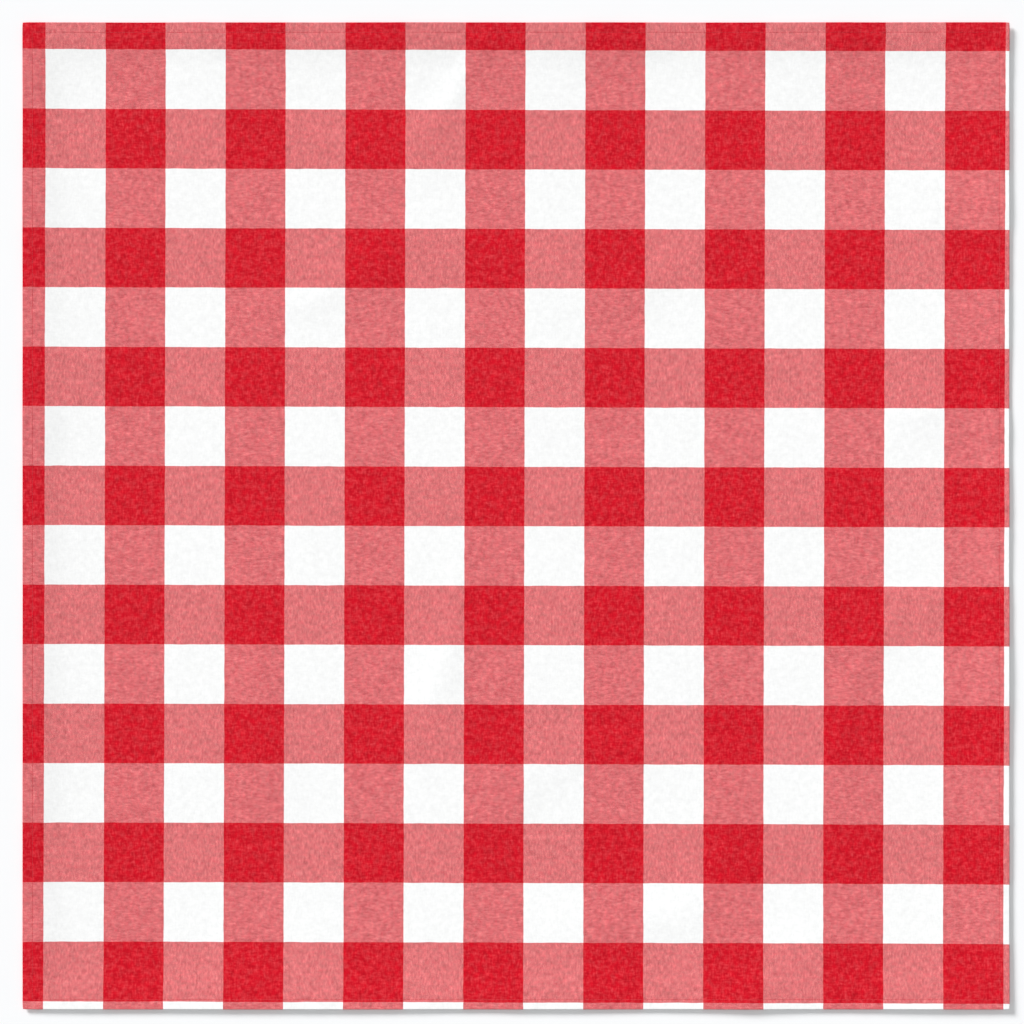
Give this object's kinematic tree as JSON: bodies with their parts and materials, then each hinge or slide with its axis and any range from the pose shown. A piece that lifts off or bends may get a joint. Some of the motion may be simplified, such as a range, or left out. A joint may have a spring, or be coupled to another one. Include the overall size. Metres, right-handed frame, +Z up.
{
  "type": "tablecloth",
  "caption": "Square woven gingham tablecloth, laid out flat and face up, with a double-turned machine-stitched hem and mitred corners.",
  "frame": {"origin": "centre of the cloth's underside, on the surface that it lies on", "axes": "+Z up out of the face of the cloth, +X to the right along the front edge, -Y towards the front edge"},
  "size_m": [0.85, 0.85, 0.0013],
  "materials": {
    "gingham_face": "matte",
    "gingham_hem": "matte",
    "gingham_flap": "matte",
    "seam_thread": "satin",
    "mitre_thread": "satin"
  },
  "bodies": {
    "root": {"cloth_panel": "gingham_face", "hem_front": "gingham_hem", "hem_right": "gingham_hem", "hem_back": "gingham_hem", "hem_left": "gingham_hem", "corner_flap_front_left": "gingham_flap", "corner_flap_front_right": "gingham_flap", "corner_flap_back_right": "gingham_flap", "corner_flap_back_left": "gingham_flap", "needle_thread_front": "seam_thread", "needle_thread_right": "seam_thread", "needle_thread_back": "seam_thread", "needle_thread_left": "seam_thread", "bobbin_thread_front": "seam_thread", "bobbin_thread_right": "seam_thread", "bobbin_thread_back": "seam_thread", "bobbin_thread_left": "seam_thread", "mitre_thread_front_left": "mitre_thread", "mitre_thread_front_right": "mitre_thread", "mitre_thread_back_right": "mitre_thread", "mitre_thread_back_left": "mitre_thread"}
  },
  "joints": []
}
